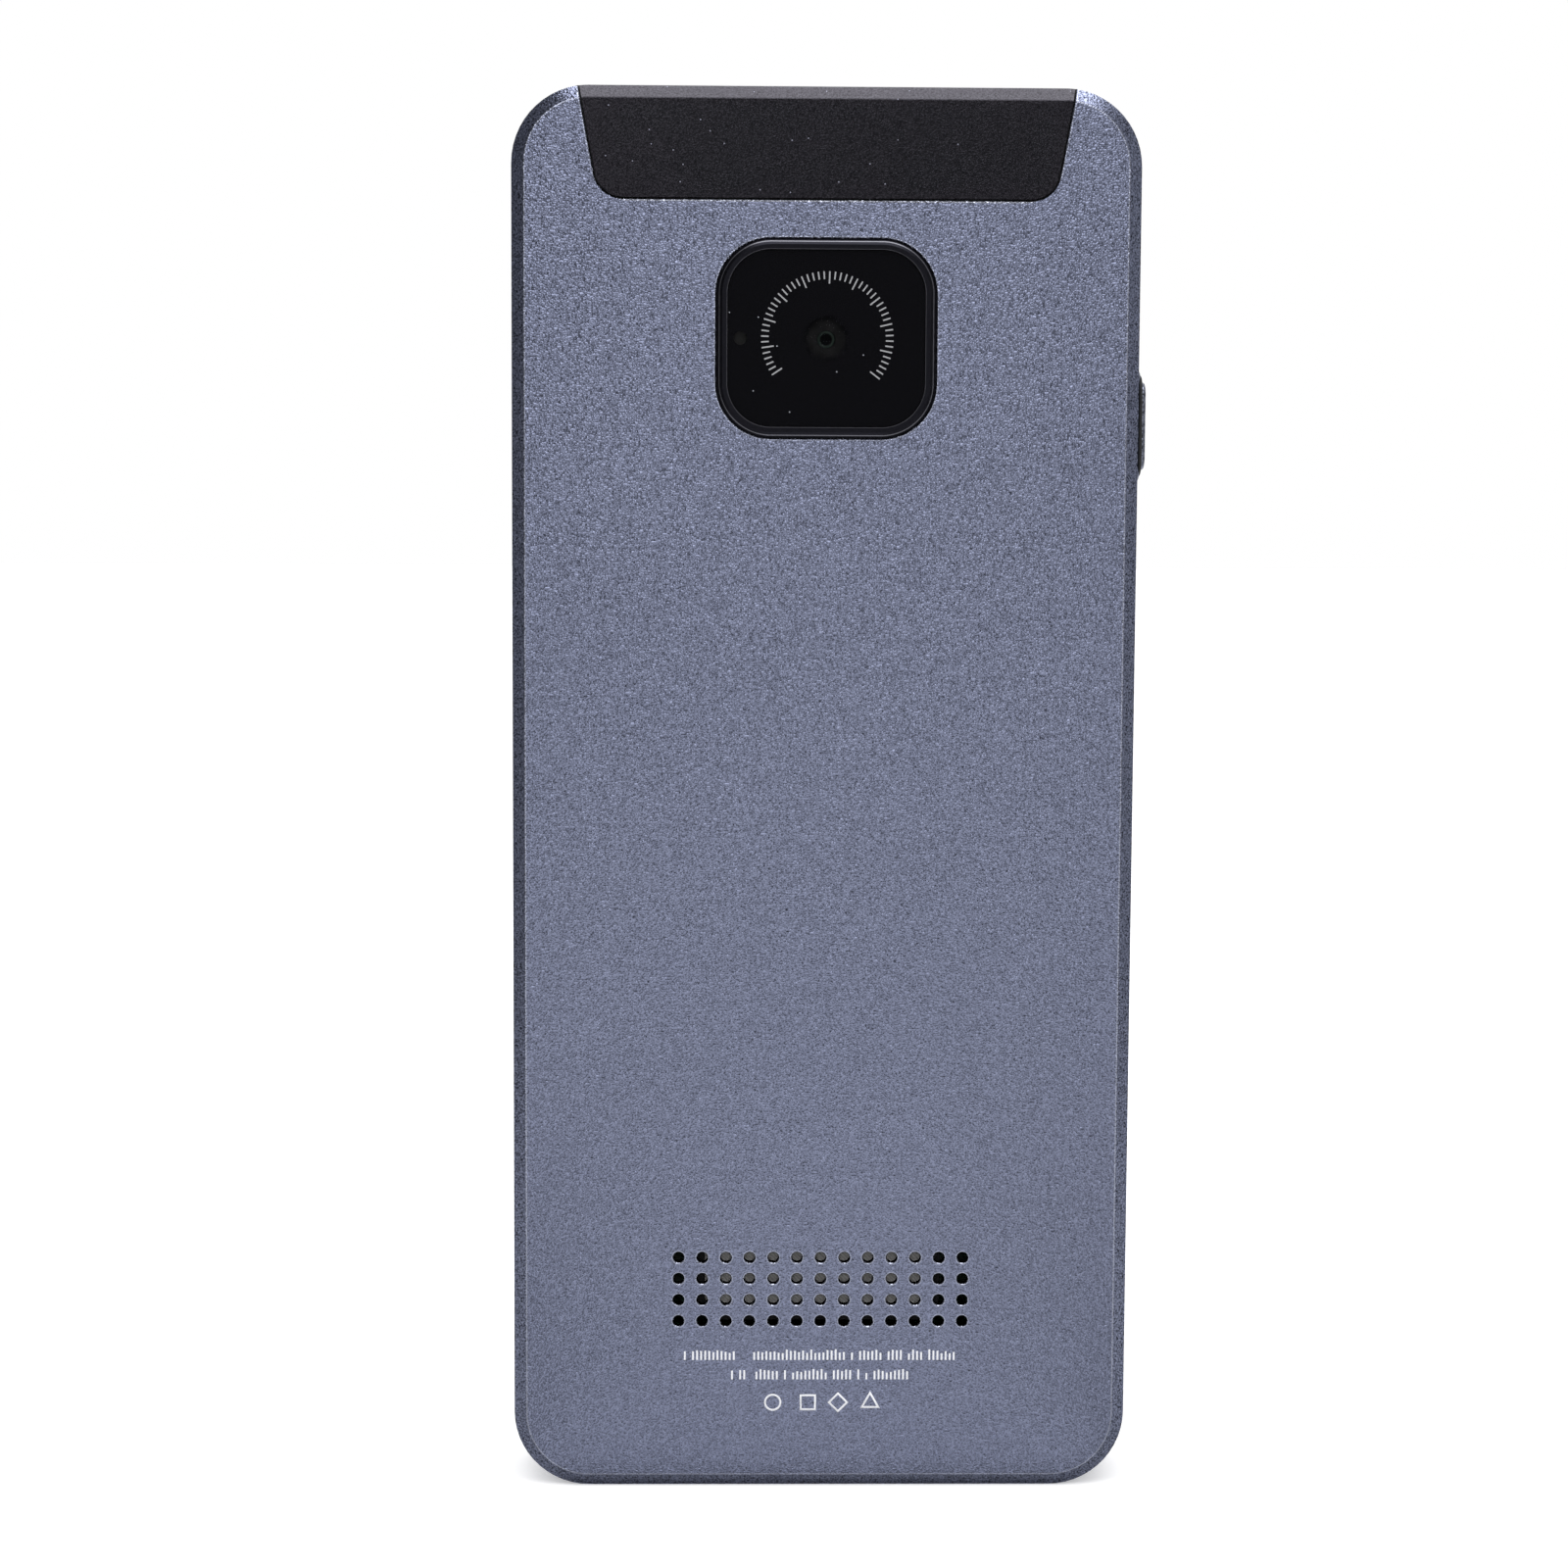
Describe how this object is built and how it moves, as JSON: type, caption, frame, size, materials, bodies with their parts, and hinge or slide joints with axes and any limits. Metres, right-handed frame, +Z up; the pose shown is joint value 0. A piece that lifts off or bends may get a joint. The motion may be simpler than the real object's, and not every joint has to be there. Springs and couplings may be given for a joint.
{
  "type": "handheld translator",
  "caption": "Slim upright handheld voice translator with a rounded metal back, camera window, loudspeaker grille, side key and talk keys under a front display.",
  "frame": {"origin": "middle of the flat bottom end, half-way through the thickness", "axes": "+Z up the device from its bottom end, -Y out of its back, +Y out of its glass front, +X towards the side key"},
  "size_m": [0.0581, 0.012, 0.129],
  "materials": {
    "cover_aluminium": "bead-blasted and anodised blue-grey",
    "window_plastic": "fine matte moulded texture, near black",
    "trim_black": "dark satin trim with bright worked edges",
    "camera_glass": "black printed glass, polished",
    "key_metal": "polished and lightly hammered metal",
    "collar_metal": "satin anodised, chamfered edge",
    "front_glass": "black printed cover glass",
    "key_plastic": "satin dark grey keycaps",
    "frame_plastic": "glass-filled black moulding",
    "foam": "closed-cell foam",
    "silicone": "soft silicone",
    "adhesive": "die-cut adhesive tape",
    "board_laminate": "green solder mask",
    "chip_plastic": "moulded chip package",
    "can_steel": "tinned pressed steel",
    "spring_brass": "gold-flashed spring metal",
    "flex_film": "amber polyimide film",
    "socket_plastic": "dark moulded connector",
    "battery_foil": "laminated pouch foil",
    "membrane_grey": "grey loudspeaker membrane",
    "speaker_plastic": "black moulding",
    "magnet_steel": "nickel plated",
    "lens_glass": "coated lens glass",
    "camera_plastic": "black lens barrel",
    "panel_glass": "display panel, switched off",
    "tray_steel": "thin pressed steel tray",
    "screw_steel": "zinc plated steel",
    "thermal_grey": "soft thermal pad"
  },
  "bodies": {
    "device": {"antenna_contacts": "spring_brass", "antenna_flex": "flex_film", "antenna_window": "window_plastic", "battery_adhesive": "adhesive", "battery_cell": "battery_foil", "battery_lead": "flex_film", "battery_pad": "foam", "board_screws": "screw_steel", "board_sockets": "socket_plastic", "bottom_mic_boots": "silicone", "bottom_microphones": "can_steel", "camera_barrel": "camera_plastic", "camera_base": "board_laminate", "camera_connector": "socket_plastic", "camera_flex": "flex_film", "camera_glass": "camera_glass", "camera_glass_tape": "adhesive", "camera_housing": "camera_plastic", "camera_lens": "lens_glass", "camera_pad": "foam", "camera_trim": "trim_black", "cover_glass": "front_glass", "display_backlight": "tray_steel", "display_flex": "flex_film", "display_panel": "panel_glass", "frame_screws": "screw_steel", "glass_adhesive": "adhesive", "link_flex": "flex_film", "link_socket": "socket_plastic", "main_board": "board_laminate", "memory_chip": "chip_plastic", "mid_frame": "frame_plastic", "processor": "chip_plastic", "processor_can": "can_steel", "protection_board": "board_laminate", "radio_can": "can_steel", "radio_chip": "chip_plastic", "rear_cover": "cover_aluminium", "rear_mic_boot": "silicone", "rear_microphone": "can_steel", "side_key_bracket": "tray_steel", "side_key_collar": "collar_metal", "side_key_flex": "flex_film", "side_switch": "can_steel", "speaker_case": "speaker_plastic", "speaker_contacts": "spring_brass", "speaker_gasket": "foam", "speaker_magnet": "magnet_steel", "speaker_membrane": "membrane_grey", "sub_board": "board_laminate", "talk_switches": "can_steel", "thermal_pad": "thermal_grey", "usb_shell": "can_steel", "usb_tongue": "socket_plastic"},
    "side_key": {"side_key": "key_metal", "side_key_plunger": "silicone"},
    "talk_key_left": {"talk_key_left": "key_plastic", "talk_key_left_plunger": "silicone"},
    "talk_key_right": {"talk_key_right": "key_plastic", "talk_key_right_plunger": "silicone"}
  },
  "joints": [
    {"name": "side_key_press", "type": "slide", "parent": "device", "child": "side_key", "axis": [-1, 0, 0], "range_m": [0, 0.00035], "stiffness_N_per_m": 2500},
    {"name": "talk_key_left_press", "type": "slide", "parent": "device", "child": "talk_key_left", "axis": [0, -1, 0], "range_m": [0, 0.0003], "stiffness_N_per_m": 3000},
    {"name": "talk_key_right_press", "type": "slide", "parent": "device", "child": "talk_key_right", "axis": [0, -1, 0], "range_m": [0, 0.0003], "stiffness_N_per_m": 3000}
  ]
}
